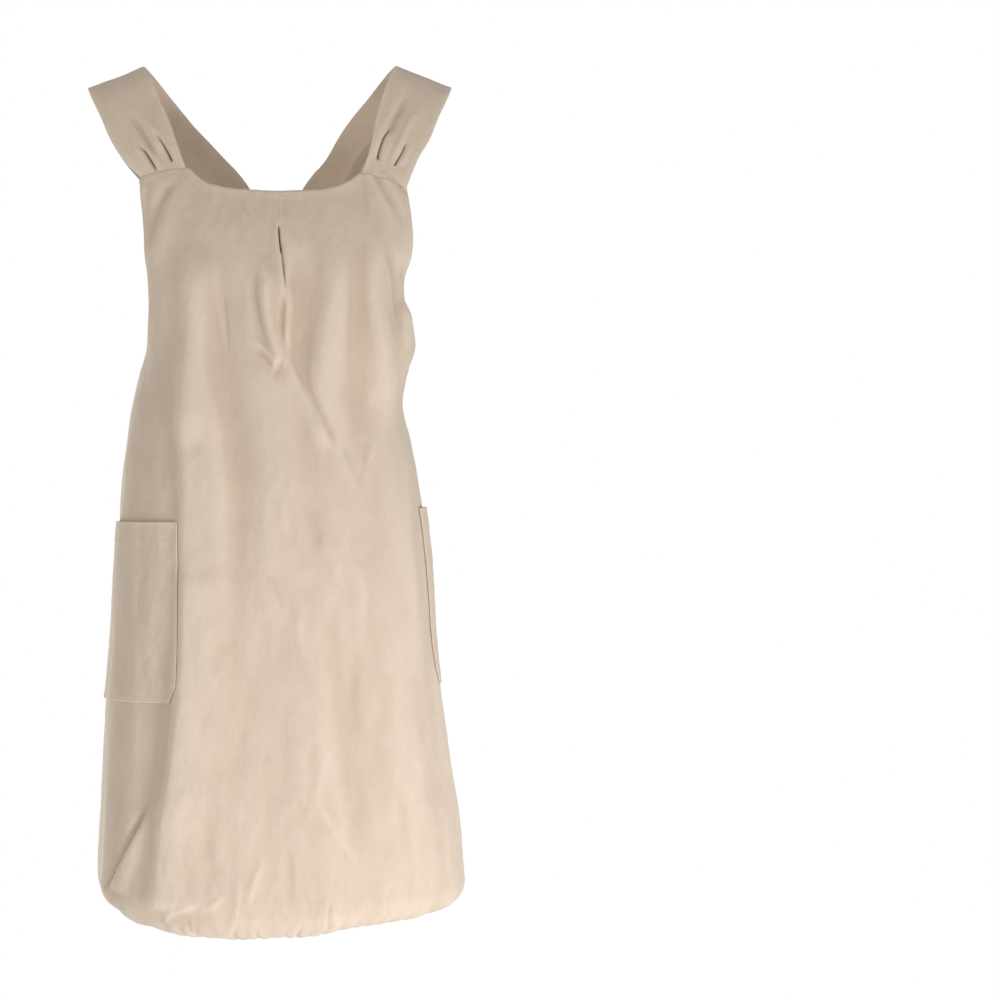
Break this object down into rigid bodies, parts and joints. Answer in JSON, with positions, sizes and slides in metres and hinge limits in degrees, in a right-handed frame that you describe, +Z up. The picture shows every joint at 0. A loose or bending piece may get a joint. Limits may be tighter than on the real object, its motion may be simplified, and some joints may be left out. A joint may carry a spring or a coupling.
{
  "type": "cross back apron",
  "caption": "Pinafore apron of plain woven cloth, shaped as worn: bib and skirt with a rolled hem, wide straps that cross behind and widen into side wings, and patch pockets.",
  "frame": {"origin": "middle of the shoulder line, level with the tops of the two straps, where a wearer's shoulders carry the apron", "axes": "+Z up, the wearer faces -Y, and +X is the wearer's left"},
  "size_m": [0.4306, 0.2585, 0.983],
  "materials": {
    "linen": "washed beige linen and cotton plain weave, matt, with slubs"
  },
  "bodies": {
    "root": {"front_panel": "linen", "over_strap": "linen", "under_strap": "linen", "right_pocket": "linen", "left_pocket": "linen"}
  },
  "joints": []
}
